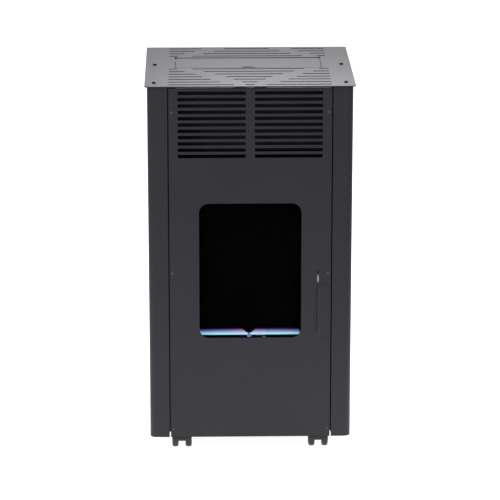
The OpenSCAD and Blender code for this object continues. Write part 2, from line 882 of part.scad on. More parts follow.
// Plate for the magnet, on a foot that closes the peep slot from behind and has a bead in it
module door_strike() {
    x1 = door_x - sheet_t;
    foot_x = peep_x - foot_edge;
    foot_z = peep_z - peep_l / 2 - foot_edge + 2;
    color(bare_steel) {
        translate([x1 - strike_w, strike_y - sheet_t, strike_z]) cube([strike_w, sheet_t, strike_h]);
        translate([x1 - sheet_t, inside_y, strike_z]) cube([sheet_t, strike_y - inside_y, strike_h]);
        translate([foot_x, inside_y, foot_z]) cube([x1 - foot_x, foot_t, strike_z + strike_h - foot_z]);
        intersection() {
            translate([peep_x, inside_y + bead_r - bead_proud, peep_z - (peep_l - bead_l) / 4])
                for (k = [0, 1]) mirror([0, 0, k]) {
                    cylinder(r = bead_r, h = bead_l / 2 - 1);
                    translate([0, 0, bead_l / 2 - 1]) cylinder(r1 = bead_r, r2 = bead_r - 0.8, h = 1);
                }
            translate([foot_x, inside_y - bead_proud - 1, foot_z])
                cube([x1 - foot_x, bead_proud + 1 + foot_t / 2, strike_h + peep_l]);
        }
    }
}

module window_glass() {
    color(glass_black)
    upright(glass_y, glass_t)
        translate([0, glass_z0 + glass_h / 2]) round_rect(glass_w, glass_h, glass_r);
}

module window_seal() {
    color(grey_rope)
    upright(inside_y, seal_t) translate([0, glass_z0 + glass_h / 2]) difference() {
        round_rect(glass_w, glass_h, glass_r);
        round_rect(glass_w - 2 * seal_w, glass_h - 2 * seal_w, window_r - (glass_lap - seal_w));
    }
}

// One clip: its foot on the door sheet, its arm over the edge of the glass at x = 0
module glass_clip() {
    step = glass_back - inside_y;
    cube([clip_foot, sheet_t, clip_l]);
    cube([sheet_t, step + sheet_t, clip_l]);
    translate([-clip_arm, step, 0]) cube([clip_arm + sheet_t, sheet_t, clip_l]);
    translate([clip_foot - 5, sheet_t, clip_l / 2]) rotate([-90, 0, 0]) cylinder(d = 6, h = 3, $fn = 6);
}

module glass_clips() {
    edge_gap = 0.5;
    mid_z = glass_z0 + glass_h / 2;
    color(bare_steel)
    translate([0, inside_y, 0]) {
        for (s = [0, 1], k = [-1, 1]) mirror([s, 0, 0])
            translate([glass_w / 2 + edge_gap, 0, mid_z + k * glass_h / 3 - clip_l / 2]) glass_clip();
        for (s = [0, 1]) translate([0, 0, mid_z]) mirror([0, 0, s])
            translate([clip_l / 2, 0, glass_h / 2 + edge_gap]) rotate([0, -90, 0]) glass_clip();
    }
}

// Firebox, burner and gas lines

module firebox() {
    height = firebox_z1 - firebox_z;
    back_y = firebox_back - sheet_t;
    color(black)
    difference() {
        union() {
            translate([-firebox_x, back_y, firebox_z]) cube([firebox_w, sheet_t, height]);
            translate([-firebox_x, frame_y, firebox_z]) cube([firebox_w, wall_y - frame_y, sheet_t]);
            translate([-firebox_x, wall_y - sheet_t, firebox_z - firebox_lip])
                cube([firebox_w, sheet_t, firebox_lip]);
            translate([-firebox_x, back_y, firebox_z1 - sheet_t]) cube([firebox_w, wall_y - back_y, sheet_t]);
            for (s = [0, 1]) mirror([s, 0, 0]) {
                translate([firebox_x - sheet_t, frame_y, firebox_z])
                    cube([sheet_t, firebox_back - frame_y, height]);
                translate([firebox_x - sheet_t, frame_y, firebox_z])
                    cube([sheet_t + firebox_flange, sheet_t, height]);
            }
        }
        translate([0, burner_y, firebox_z - 1]) cylinder(d = mix_d + 2, h = sheet_t + 2);
        for (x = [probe_x, 0, electrode_x])
            translate([x, pilot_y, firebox_z - 1]) cylinder(d = ignition_d + 4, h = sheet_t + 2);
    }
}

// Hood that turns the hot air forward to the louvres
module hot_air_hood() {
    back_y = firebox_back - sheet_t;
    bend_z = firebox_z1 + hood_bend;
    top_y = frame_y + rail_d - 2;
    top_z = rail_z0 - sheet_t;
    color(black) {
        across(-firebox_x, firebox_x)
            polygon([[back_y, firebox_z1], [firebox_back, firebox_z1], [firebox_back, bend_z],
                     [top_y + sheet_t, rail_z0], [frame_y, rail_z0], [frame_y, top_z],
                     [top_y, top_z], [back_y, bend_z]]);
        for (s = [0, 1]) mirror([s, 0, 0])
            across(firebox_x - sheet_t, firebox_x)
                polygon([[frame_y, firebox_z1], [firebox_back, firebox_z1], [firebox_back, bend_z],
                         [top_y + sheet_t, rail_z0], [frame_y, rail_z0]]);
    }
}

module burner_body() {
    y0 = burner_y - burner_w / 2;
    height = burner_z1 - burner_z0;
    color(stainless)
    difference() {
        union() {
            translate([-burner_l / 2, y0, burner_z0]) cube([burner_l, burner_w, height]);
            translate([0, burner_y, mix_z0]) cylinder(d = mix_d, h = burner_z0 - mix_z0 + 1);
        }
        translate([mix_wall - burner_l / 2, y0 + mix_wall, burner_z0 + mix_wall])
            cube([burner_l - 2 * mix_wall, burner_w - 2 * mix_wall, height]);
        translate([0, burner_y, mix_z0 + mix_wall])
            cylinder(d = mix_d - 2 * mix_wall, h = burner_z0 - mix_z0 + 1);
        translate([0, burner_y, mix_z0 - 1]) cylinder(d = nozzle_d + 2 * fit, h = mix_wall + 2);
        // Air ports of the mixing tube
        for (a = [45, 135])
            translate([0, burner_y, mix_z0 + 9]) rotate([90, 0, a])
                cylinder(d = 9, h = mix_d + 2, center = true);
    }
}

module burner_port_plate() {
    side_ports = floor((burner_l / 2 - port_web / 2 - 6) / port_pitch);
    color(stainless)
    difference() {
        translate([-burner_l / 2, burner_y - burner_w / 2, burner_z1]) cube([burner_l, burner_w, sheet_t]);
        for (s = [-1, 1], i = [0 : side_ports - 1])
            translate([s * (port_web / 2 + (i + 0.5) * port_pitch), burner_y, burner_z1 - 1])
                rotate(90) linear_extrude(sheet_t + 2) slot2d(port_l, port_w);
    }
}

module burner_feet() {
    color(bare_steel)
    for (s = [-1, 1]) translate([s * (burner_l / 2 - feet_edge) - feet_w / 2, burner_y, floor_top]) {
        translate([0, -burner_w / 2, 0]) cube([feet_w, burner_w, sheet_t]);
        for (y = [-burner_w / 2, burner_w / 2 - feet_t])
            translate([0, y, 0]) cube([feet_w, feet_t, burner_z0 - floor_top]);
    }
}

module injector() {
    color(brass)
    translate([0, burner_y, mix_z0]) difference() {
        union() {
            translate([0, 0, -injector_h]) cylinder(d = injector_hex / cos(30), h = injector_h, $fn = 6);
            cylinder(d = nozzle_d, h = nozzle_l);
        }
        translate([0, 0, -injector_h - 1]) cylinder(d = gas_pipe_d + 2 * fit, h = pipe_seat + 2);
        translate([0, 0, -injector_h]) cylinder(d = 1.5, h = injector_h + nozzle_l + 1);
    }
}

module gas_pipe() {
    start_y = control_y - valve_l / 2 - valve_port_l + pipe_seat;
    color(copper)
    pipe_run([[-knob_x, start_y, valve_port_z],
              [-knob_x, start_y - gas_turn, valve_port_z],
              [gas_line_x, start_y - gas_turn, valve_port_z],
              [gas_line_x, burner_y, valve_port_z],
              [gas_line_x, burner_y, gas_low_z - gas_bend],
              [0, burner_y, gas_low_z - gas_bend],
              [0, burner_y, mix_z0 - injector_h + pipe_seat]], gas_pipe_d, gas_bend);
}

module pilot_bracket() {
    x0 = probe_x - pilot_side;
    x1 = electrode_x + pilot_side;
    y0 = pilot_y - pilot_depth / 2;
    color(bare_steel)
    difference() {
        union() {
            translate([x0, y0, pilot_z - sheet_t]) cube([x1 - x0, pilot_depth, sheet_t]);
            for (x = [x0, x1 - sheet_t])
                translate([x, y0, floor_top]) cube([sheet_t, pilot_depth, pilot_z - floor_top]);
            for (x = [x0 - pilot_foot, x1])
                translate([x, y0, floor_top]) cube([pilot_foot, pilot_depth, sheet_t]);
        }
        for (x = [probe_x, 0, electrode_x])
            translate([x, pilot_y, pilot_z - sheet_t - 1]) cylinder(d = ignition_d + 1, h = sheet_t + 2);
    }
}

module pilot_burner() {
    color(brass)
    translate([0, pilot_y, pilot_z]) difference() {
        union() {
            cylinder(d = pilot_d, h = pilot_h);
            cylinder(d = pilot_d + 3, h = 4, $fn = 6);
        }
        translate([0, 0, -1]) cylinder(d = pilot_pipe_d + 2 * fit, h = 4);
        translate([0, 0, pilot_h / 2]) cylinder(d = pilot_d - 2.4, h = pilot_h);
        for (a = [0, 90])
            translate([0, 0, pilot_h - 3]) rotate([90, 0, a]) cylinder(d = 3, h = pilot_d + 2, center = true);
    }
}

module pilot_pipe() {
    x_far = line_x;
    x_near = electrode_x + pilot_line_out;
    color(copper)
    pipe_run([[valve_w / 2 + side_port_l - 1 - knob_x, control_y - side_port_y, valve_side_z],
              [x_far, control_y - side_port_y, valve_side_z],
              [x_far, line_y, valve_side_z],
              [x_far, line_y, under_z],
              [x_near, line_y, under_z],
              [x_near, cross_y, under_z],
              [0, cross_y, under_z],
              [0, pilot_y, under_z],
              [0, pilot_y, pilot_z + 2]], pilot_pipe_d, small_bend);
}

module thermocouple() {
    x_far = line_x + line_step;
    x_near = electrode_x + thermo_line_out;
    z = under_z - lead_step;
    color(copper) {
        pipe_run([[valve_w / 2 + side_port_l - 1 - knob_x, control_y + side_port_y, valve_side_z],
                  [x_far, control_y + side_port_y, valve_side_z],
                  [x_far, line_y, valve_side_z],
                  [x_far, line_y, z],
                  [x_near, line_y, z],
                  [x_near, cross_y, z],
                  [probe_x, cross_y, z],
                  [probe_x, pilot_y, z],
                  [probe_x, pilot_y, pilot_z + 1]], thermo_d, small_bend);
        translate([probe_x, pilot_y, pilot_z]) {
            cylinder(d = probe_d + 2, h = 3, $fn = 6);
            cylinder(d = probe_d - 1, h = probe_h);
        }
    }
}

module ignition_electrode() {
    x_far = line_x + 2 * line_step;
    z = under_z - 2 * lead_step;
    z_run = valve_side_z - lead_drop;
    color(ceramic) {
        pipe_run([[button_x, control_y, control_z0 - igniter_l],
                  [button_x, control_y, z_run],
                  [x_far, control_y, z_run],
                  [x_far, line_y, z_run],
                  [x_far, line_y, z],
                  [electrode_x, line_y, z],
                  [electrode_x, pilot_y, z],
                  [electrode_x, pilot_y, pilot_z + 1]], ignition_d, small_bend);
        translate([electrode_x, pilot_y, pilot_z]) {
            cylinder(d = electrode_d, h = electrode_h);
            cylinder(d = 2, h = electrode_h + 5);
            translate([0, 0, electrode_h + 4]) rotate([0, -90, 0])
                cylinder(d = 2, h = electrode_x - pilot_d - 5);
        }
    }
}

// Control tray, flap and controls

module control_tray() {
    top = plate_z - rest_gap;
    flange_y1 = flap_pin_y - tray_flange_gap;
    color(anthracite)
    difference() {
        union() {
            translate([-tray_x, tray_y0, control_z0]) cube([2 * tray_x, tray_y1 - tray_y0, sheet_t]);
            translate([-tray_x, tray_y0, control_z0]) cube([2 * tray_x, sheet_t, top - control_z0]);
            translate([-tray_x, tray_y1 - sheet_t, control_z0]) cube([2 * tray_x, sheet_t, control_depth]);
            for (s = [0, 1]) mirror([s, 0, 0]) {
                translate([tray_x - sheet_t, tray_y0, control_z0])
                    cube([sheet_t, tray_y1 - tray_y0, top - control_z0]);
                translate([tray_x - sheet_t, tray_y0 + 4, rail_z1])
                    cube([tray_flange, flange_y1 - tray_y0 - 4, sheet_t]);
            }
        }
        // Room for a finger below the notch of the flap
        translate([-notch_w / 2 - finger_side, tray_y0 - 1, plate_z - finger_drop])
            cube([notch_w + 2 * finger_side, sheet_t + 2, finger_drop + 4]);
        translate([-knob_x, control_y, control_z0 - 1]) cylinder(d = bushing_d + 0.4, h = sheet_t + 2);
        translate([button_x, control_y, control_z0 - 1]) cylinder(d = igniter_neck_d + 0.4, h = sheet_t + 2);
        for (s = [0, 1]) mirror([s, 0, 0])
            translate([tray_x - sheet_t - 1, flap_pin_y, flap_pin_z]) rotate([0, 90, 0])
                cylinder(d = flap_pin_d + 2 * fit, h = sheet_t + 2);
    }
}

module control_flap() {
    x = flap_w / 2;
    notch_r = (notch_w * notch_w / 4 + notch_d * notch_d) / (2 * notch_d);
    color(anthracite)
    difference() {
        union() {
            translate([0, 0, plate_z]) linear_extrude(top_t) {
                translate([-x, flap_y0 + flap_corner_r]) square([flap_w, flap_d - flap_corner_r]);
                translate([flap_corner_r - x, flap_y0]) square([flap_w - 2 * flap_corner_r, flap_corner_r]);
                for (s = [-1, 1])
                    translate([s * (x - flap_corner_r), flap_y0 + flap_corner_r]) circle(r = flap_corner_r);
            }
            for (s = [0, 1]) mirror([s, 0, 0])
                translate([x - ear_inset, flap_pin_y - ear_front, flap_pin_z - ear_drop])
                    cube([sheet_t, ear_front + flap_pin_in, plate_z - flap_pin_z + ear_drop + 0.5]);
        }
        translate([0, flap_y0 + notch_d - notch_r, plate_z - 1])
            cylinder(r = notch_r, h = top_t + 2, $fn = 64);
        for (s = [0, 1]) mirror([s, 0, 0]) {
            translate([x - ear_inset - 1, flap_pin_y, flap_pin_z]) rotate([0, 90, 0])
                cylinder(d = flap_pin_d + 2 * fit, h = sheet_t + 2);
            // Cut corners, so that the relief holes of the plate show
            translate([x, flap_y1, plate_z - 1]) cylinder(d = relief_d, h = top_t + 2);
        }
    }
}

module flap_pins() {
    color(bare_steel)
    for (s = [0, 1]) mirror([s, 0, 0])
        translate([0, flap_pin_y, flap_pin_z]) rotate([0, 90, 0]) {
            translate([0, 0, tray_x - 8]) cylinder(d = flap_pin_d, h = 8.5);
            translate([0, 0, tray_x]) cylinder(d = flap_pin_d + 2, h = 1.5);
        }
}

module gas_valve() {
    color(brass)
    translate([-knob_x, control_y, 0]) difference() {
        union() {
            translate([-valve_w / 2, -valve_l / 2, valve_z0]) cube([valve_w, valve_l, valve_h]);
            translate([0, 0, valve_z0 + valve_h - 1]) cylinder(d = valve_flange_d, h = valve_flange_h + 1);
            translate([0, 0, control_z0 - 1]) cylinder(d = bushing_d, h = sheet_t + bushing_h + 1);
            for (k = [-1, 1])
                translate([0, 0, valve_port_z]) rotate([-k * 90, 0, 0])
                    cylinder(d = valve_port_d, h = valve_l / 2 + valve_port_l);
            for (k = [-1, 1])
                translate([0, k * side_port_y, valve_side_z]) rotate([0, 90, 0])
                    cylinder(d = side_port_d, h = valve_w / 2 + side_port_l, $fn = 6);
            translate([0, 0, valve_z0 - valve_cap_h]) cylinder(d = valve_cap_d, h = valve_cap_h + 1);
        }
        // Bore of the spindle
        translate([0, 0, valve_z0 + valve_h - spindle_bore])
            cylinder(d = spindle_d + 2 * fit, h = spindle_bore + valve_flange_h + sheet_t + bushing_h + 1);
        // Seats of the pipes
        translate([0, -valve_l / 2 - valve_port_l - 1, valve_port_z]) rotate([-90, 0, 0])
            cylinder(d = gas_pipe_d + 2 * fit, h = pipe_seat + 2);
        translate([valve_w / 2 + side_port_l - pipe_seat, -side_port_y, valve_side_z]) rotate([0, 90, 0])
            cylinder(d = pilot_pipe_d + 2 * fit, h = pipe_seat + 1);
        translate([valve_w / 2 + side_port_l - pipe_seat, side_port_y, valve_side_z]) rotate([0, 90, 0])
            cylinder(d = thermo_d + 2 * fit, h = pipe_seat + 1);
    }
}

module gas_inlet() {
    start_y = control_y + valve_l / 2 + valve_port_l;
    color(brass)
    translate([-knob_x, start_y, valve_port_z]) rotate([-90, 0, 0]) difference() {
        union() {
            cylinder(d = nipple_hex / cos(30), h = nipple_hex_l, $fn = 6);
            cylinder(d = inlet_d, h = nipple_hex_l + inlet_l);
        }
        translate([0, 0, -1]) cylinder(d = inlet_d * 0.45, h = nipple_hex_l + inlet_l + 2);
    }
}

module valve_spindle() {
    z0 = valve_z0 + valve_h - spindle_bore + spindle_travel + 1;
    color(bare_steel)
    translate([-knob_x, control_y, z0]) cylinder(d = spindle_d, h = knob_z + spindle_grip - rest_gap - z0);
}

module control_knob() {
    grip_r = knob_d / 2 - 4;
    flutes = 12;
    edge = 1.5;
    color(black)
    translate([-knob_x, control_y, knob_z]) difference() {
        union() {
            cylinder(d = knob_d, h = knob_base_h);
            cylinder(r = grip_r, h = knob_h - edge);
            translate([0, 0, knob_h - edge]) cylinder(r1 = grip_r, r2 = grip_r - edge, h = edge);
        }
        translate([0, 0, -1]) cylinder(d = spindle_d + 2 * fit, h = spindle_grip + 1);
        for (a = [0 : flutes - 1]) rotate((a + 0.5) * 360 / flutes)
            translate([grip_r + 1, 0, knob_base_h]) cylinder(d = 5, h = knob_h);
        // Pointer groove
        translate([-0.8, -grip_r - 1, knob_h - 1]) cube([1.6, grip_r - 5, 2]);
    }
}

module piezo_igniter() {
    color(black)
    translate([button_x, control_y, control_floor]) difference() {
        union() {
            cylinder(d = igniter_d + igniter_rim, h = 2);
            translate([0, 0, -sheet_t]) cylinder(d = igniter_neck_d, h = sheet_t + 1);
            translate([0, 0, -sheet_t - igniter_l]) cylinder(d = igniter_d, h = igniter_l);
        }
        translate([0, 0, -igniter_bore]) cylinder(d = button_d + 2 * fit, h = igniter_bore + 3);
    }
}

module igniter_button() {
    stem_z = button_travel + 1 - igniter_bore;
    color(red_plastic)
    translate([button_x, control_y, control_floor]) {
        translate([0, 0, stem_z]) cylinder(d = button_d, h = 2 + button_rise - stem_z);
        translate([0, 0, 2 + button_rise]) cylinder(d1 = button_d + 4, d2 = button_d + 2, h = 4);
    }
}

// Casters, drawn with the king pin at the origin and the axle in front of it

module caster_plate_piece() {
    color(bare_steel) {
        translate([-caster_plate / 2, -caster_plate / 2, caster_h - caster_plate_t])
            cube([caster_plate, caster_plate, caster_plate_t]);
        translate([0, 0, pin_z0]) cylinder(d = king_d, h = caster_h - pin_z0 - 1);
    }
}

module caster_hood() {
    axle_z = wheel_d / 2;
    head_z = axle_z + hood_r - hood_t;
    color(black)
    difference() {
        union() {
            // Web between the wheels, which holds the axle and the king pin
            across(-web_w / 2, web_w / 2) {
                translate([-caster_trail, axle_z]) {
                    circle(r = boss_r);
                    intersection() {
                        circle(r = hood_r - 0.5);
                        translate([-hood_r, 0]) square([2 * hood_r, hood_r]);
                    }
                }
                translate([-caster_trail, pin_z0])
                    square([caster_trail + web_w / 2, swivel_top - 1 - pin_z0]);
            }
            // Fender over both wheels
            across(-hood_w / 2, hood_w / 2) translate([-caster_trail, axle_z]) intersection() {
                difference() {
                    circle(r = hood_r);
                    circle(r = hood_r - hood_t);
                }
                translate([-hood_r, 0]) square([2 * hood_r, hood_r]);
            }
            // Swivel head
            translate([0, 0, head_z]) cylinder(d = caster_plate - 4, h = swivel_top - head_z);
        }
        translate([0, 0, -1]) cylinder(d = king_d + 2 * fit, h = caster_h);
        translate([-web_w, -caster_trail, axle_z]) rotate([0, 90, 0])
            cylinder(d = axle_d + 2 * fit, h = 2 * web_w);
    }
}

module caster_axle() {
    half = web_w / 2 + wheel_side + wheel_w - 1;
    color(bare_steel)
    translate([-half, -caster_trail, wheel_d / 2]) rotate([0, 90, 0]) cylinder(d = axle_d, h = 2 * half);
}

// Wheel on the right of the web: rounded tread and a dished outer face
module caster_wheel() {
    r = wheel_d / 2;
    edge_r = 5;
    bore_r = axle_d / 2 + fit;
    color(black)
    translate([web_w / 2 + wheel_side, -caster_trail, r]) rotate([0, 90, 0]) rotate_extrude() difference() {
        union() {
            translate([bore_r, 0]) square([r - edge_r - bore_r, wheel_w]);
            translate([r - edge_r - 1, edge_r]) square([edge_r + 1, wheel_w - 2 * edge_r]);
            for (x = [edge_r, wheel_w - edge_r])
                translate([r - edge_r, x]) circle(r = edge_r);
        }
        translate([bore_r + 3, wheel_w - 1.5]) square([r - edge_r - bore_r - 5, 3]);
    }
}

module caster_piece(piece) {
    if (piece == "plate") caster_plate_piece();
    if (piece == "hood") caster_hood();
    if (piece == "axle") caster_axle();
    if (piece == "wheel_left") mirror([1, 0, 0]) caster_wheel();
    if (piece == "wheel_right") caster_wheel();
}

top_plate();
top_screws();
side_panel_left();
side_panel_right();
base_tray();
bay_wall();
front_rail();
rear_cover();
hinge_bracket_lower();
hinge_bracket_upper();
door_hinge_pins();
magnet_catch();
door_panel();
door_pull();
door_strike();
window_glass();
window_seal();
glass_clips();
firebox();
hot_air_hood();
burner_body();
burner_port_plate();
burner_feet();
injector();
gas_pipe();
pilot_bracket();
pilot_burner();
pilot_pipe();
thermocouple();
ignition_electrode();
control_tray();
control_flap();
flap_pins();
gas_valve();
valve_spindle();
control_knob();
piezo_igniter();
igniter_button();
gas_inlet();
for (i = [0 : 3], piece = CASTER_PIECES)
    translate([(i % 2 == 0 ? -1 : 1) * king_x, king_ys[floor(i / 2)], 0]) caster_piece(piece);
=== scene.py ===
"""Looks of a free-standing gas heater: powder-coated cabinet, dark window, blue ribbon flame, casters."""

import math

import bpy
from mathutils import Matrix, Vector


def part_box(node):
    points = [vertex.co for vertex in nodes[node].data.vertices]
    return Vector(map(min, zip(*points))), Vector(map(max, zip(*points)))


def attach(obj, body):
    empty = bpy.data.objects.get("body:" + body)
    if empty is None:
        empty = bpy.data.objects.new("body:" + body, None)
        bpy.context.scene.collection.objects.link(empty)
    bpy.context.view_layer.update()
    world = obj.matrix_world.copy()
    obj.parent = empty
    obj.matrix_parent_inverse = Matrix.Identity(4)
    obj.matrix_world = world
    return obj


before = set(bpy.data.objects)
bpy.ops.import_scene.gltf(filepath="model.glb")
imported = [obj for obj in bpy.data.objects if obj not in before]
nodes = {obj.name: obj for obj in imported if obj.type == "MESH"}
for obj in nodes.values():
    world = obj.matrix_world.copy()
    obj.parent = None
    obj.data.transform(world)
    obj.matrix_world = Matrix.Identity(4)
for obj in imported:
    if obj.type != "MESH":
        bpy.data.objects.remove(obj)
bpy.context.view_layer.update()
scene = bpy.context.scene

MM = 0.001
WHITE = (1, 1, 1)


# Node trees

class Nodes:
    """A node tree of any kind, built step by step."""

    def __init__(self, tree):
        self.tree = tree

    def node(self, kind, **settings):
        made = self.tree.nodes.new(kind)
        for key, value in settings.items():
            setattr(made, key, value)
        return made

    def feed(self, value, socket):
        """Links an output to the socket, or sets a plain value there. A colour gets its alpha here."""
        if isinstance(value, bpy.types.NodeSocket):
            self.tree.links.new(value, socket)
        elif socket.type == "RGBA":
            socket.default_value = (*value, 1)
        else:
            socket.default_value = value

    def wire(self, node, **values):
        """Feeds inputs of a node by their names, with an underscore for each space."""
        for label, value in values.items():
            self.feed(value, node.inputs[label.replace("_", " ")])
        return node

    def add(self, kind, settings=None, **values):
        """A new node with its inputs fed, given as its first output."""
        return self.wire(self.node(kind, **(settings or {})), **values).outputs[0]

    def math(self, operation, *values, clamp=False):
        made = self.node("ShaderNodeMath", operation=operation, use_clamp=clamp)
        for value, socket in zip(values, made.inputs):
            self.feed(value, socket)
        return made.outputs[0]

    def axes(self, vector):
        """The X, Y and Z of a vector."""
        return self.wire(self.node("ShaderNodeSeparateXYZ"), Vector=vector).outputs

    def spread(self, value, low, high, start=0.3, end=0.7):
        """Maps a value that runs from start to end to the range from low to high."""
        made = self.node("ShaderNodeMapRange")
        self.wire(made, Value=value, From_Min=start, From_Max=end, To_Min=low, To_Max=high)
        return made.outputs["Result"]

    def mixed(self, share, first, second):
        """The first colour where share is 0, the second where it is 1."""
        made = self.node("ShaderNodeMix", data_type="RGBA")
        return self.wire(made, Factor=share, A=first, B=second).outputs["Result"]

    def ramp(self, place, stops):
        """Colour or level along place, from stops of a position and a value."""
        made = self.wire(self.node("ShaderNodeValToRGB"), Fac=place)
        elements = made.color_ramp.elements
        while len(elements) < len(stops):
            elements.new(0.5)
        for element, (position, value) in zip(elements, stops):
            element.position = position
            element.color = (*value, 1) if isinstance(value, tuple) else (value, value, value, 1)
        return made.outputs["Color"]


class Finish(Nodes):
    """A material with a Principled shader and the few chains that the finishes share."""

    def __init__(self, name, colour, roughness, **values):
        self.material = bpy.data.materials.new(name)
        self.material.use_nodes = True
        super().__init__(self.material.node_tree)
        self.shader = self.tree.nodes["Principled BSDF"]
        self.wire(self.shader, Base_Color=colour, Roughness=roughness, **values)
        self.place = self.node("ShaderNodeTexCoord").outputs["Object"]
        self.normal = None

    def stretched(self, scale):
        """Object coordinates, scaled by axis, for grain that runs one way."""
        return self.add("ShaderNodeMapping", Scale=scale, Vector=self.place)

    def noise(self, size, detail=3, place=None):
        """Noise whose spots are about size metres across."""
        made = self.node("ShaderNodeTexNoise")
        return self.wire(made, Scale=1 / size, Detail=detail, Vector=place or self.place).outputs["Fac"]

    def vary_roughness(self, value, low, high):
        self.feed(self.spread(value, low, high), self.shader.inputs["Roughness"])

    def vary_colour(self, value, first, second, start=0.3, end=0.7):
        share = self.spread(value, 0, 1, start, end)
        self.feed(self.mixed(share, first, second), self.shader.inputs["Base Color"])

    def lay_over(self, share, colour):
        """Lays colour over the varied base colour where share is 1."""
        base = self.shader.inputs["Base Color"]
        self.feed(self.mixed(share, base.links[0].from_socket, colour), base)

    def bump(self, height, depth, strength=1.0):
        """Adds a relief of depth metres. Later reliefs sit on the earlier ones."""
        relief = self.node("ShaderNodeBump")
        self.wire(relief, Distance=depth, Strength=strength, Height=height)
        if self.normal:
            self.feed(self.normal, relief.inputs["Normal"])
        self.normal = relief.outputs["Normal"]
        self.feed(self.normal, self.shader.inputs["Normal"])


# Materials

ANTHRACITE = (0.0102, 0.0101, 0.0148)
COAT_TINT = (0.98, 0.97, 1.0)
# Lighter coat colour painted on the pull: a painted highlight on its free edge and painted light on its
# shaded upper slope
PAINTED_LIGHT_COLOUR = (0.027, 0.027, 0.03)
# Height of the slope at the upper end of the pull, as in the CAD
PULL_SLOPE = 6 * MM
# Height of the painted highlight on the bead behind the peep slot
BEAD_Z = 0.386
# Scale of the tape's wave texture, which gives a band every 1.7 mm
WEAVE = 180


def shade(colour, factor):
    return tuple(c * factor for c in colour)


def powder_coat(name, colour, roughness=0.42, painted_light=None):
    """Fine textured powder coat: a pebbled skin, slight clouds in its gloss and colour, and painted light
    where a mask is given.
    """
    coat = Finish(name, colour, roughness, Specular_IOR_Level=0.44, Specular_Tint=COAT_TINT)
    pebbles = coat.noise(1.2 * MM, detail=2)
    clouds = coat.noise(90 * MM, detail=4)
    coat.vary_colour(coat.noise(4 * MM), shade(colour, 0.88), shade(colour, 1.12))
    # Painted light: the lighter colour is laid where the mask is 1
    if painted_light:
        coat.lay_over(painted_light(coat), PAINTED_LIGHT_COLOUR)
    coat.vary_roughness(clouds, roughness - 0.03, roughness + 0.04)
    coat.bump(clouds, 0.2 * MM, 0.4)
    coat.bump(pebbles, 0.08 * MM)
    return coat.material


def pull_light_mask(coat):
    """Mask of painted light on the pull: a painted highlight along its free edge and painted light on its
    sloping upper end, which the lamps leave in shade.
    """
    low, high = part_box("door_pull")
    x, y, z = coat.axes(coat.place)
    # Painted highlight along the free edge
    edge = coat.spread(x, 1, 0, low.x + 1 * MM, low.x + 3 * MM)
    # Painted light on the sloping upper end, which is in shade
    slope = PULL_SLOPE / (high.y - low.y)
    level = coat.math("MULTIPLY_ADD", y, slope, high.z - slope * high.y)
    over_slope = coat.math("SUBTRACT", z, level)
    return coat.math("MAXIMUM", edge, coat.spread(over_slope, 0, 1, -0.6 * MM, -0.1 * MM))


def brushed_metal(name, colour, roughness, along=(1, 1, 30)):
    """Rolled or drawn metal with a faint grain along its length."""
    metal = Finish(name, colour, roughness, Metallic=1.0)
    grain = metal.noise(4 * MM, detail=4, place=metal.stretched(along))
    tarnish = metal.noise(20 * MM)
    metal.vary_colour(tarnish, shade(colour, 0.82), colour)
    metal.vary_roughness(grain, roughness - 0.07, roughness + 0.1)
    metal.bump(grain, 0.03 * MM)
    return metal.material


def shaded_strike(name, dark, light):
    """Plated steel with a painted highlight at the bead behind the peep slot and painted shade above and
    below it.
    """
    steel = Finish(name, light, 0.34, Metallic=1.0)
    height = steel.axes(steel.place)["Z"]
    away = steel.math("ABSOLUTE", steel.math("SUBTRACT", height, BEAD_Z))
    # Painted highlight near BEAD_Z, painted shade away from it
    steel.vary_colour(away, light, dark, 3 * MM, 12 * MM)
    steel.bump(steel.noise(2 * MM), 0.03 * MM)
    return steel.material


def moulded_plastic(name, colour, roughness, grain=0.8 * MM, relief=0.05 * MM):
    """Moulded plastic with a fine spark-eroded grain."""
    plastic = Finish(name, colour, roughness)
    plastic.vary_roughness(plastic.noise(15 * MM), roughness - 0.05, roughness + 0.07)
    plastic.vary_colour(plastic.noise(6 * MM), shade(colour, 0.9), shade(colour, 1.1))
    plastic.bump(plastic.noise(grain, detail=1), relief)
    return plastic.material


def heat_paint(name, colour):
    """Matt heat-proof paint, a little dusty and uneven."""
    paint = Finish(name, colour, 0.75, Specular_IOR_Level=0.03)
    dust = paint.noise(30 * MM, detail=6)
    paint.vary_colour(dust, colour, shade(colour, 1.4))
    paint.vary_roughness(dust, 0.65, 0.85)
    paint.bump(paint.noise(1.5 * MM), 0.12 * MM)
    return paint.material


def woven_tape(name, colour):
    """Flat woven tape of glass fibre."""
    tape = Finish(name, colour, 0.9, Sheen_Weight=0.3)
    waves = []
    for axis in ("X", "Z"):
        wave = tape.node("ShaderNodeTexWave", bands_direction=axis)
        tape.wire(wave, Scale=WEAVE, Distortion=0.6, Vector=tape.place)
        waves.append(wave.outputs["Fac"])
    weave = tape.math("MULTIPLY", *waves)
    tape.vary_colour(weave, shade(colour, 0.6), colour, 0, 1)
    tape.bump(weave, 0.4 * MM)
    return tape.material


def tinted_glass(name):
    """Dark heat-resistant glass with faint smears."""
    glass = Finish(name, (0.42, 0.42, 0.45), 0.02, IOR=1.035, Transmission_Weight=1.0)
    glass.vary_roughness(glass.noise(50 * MM, detail=5), 0.01, 0.05)
    return glass.material


sheet_coat = powder_coat("anthracite_powder_coat", ANTHRACITE)
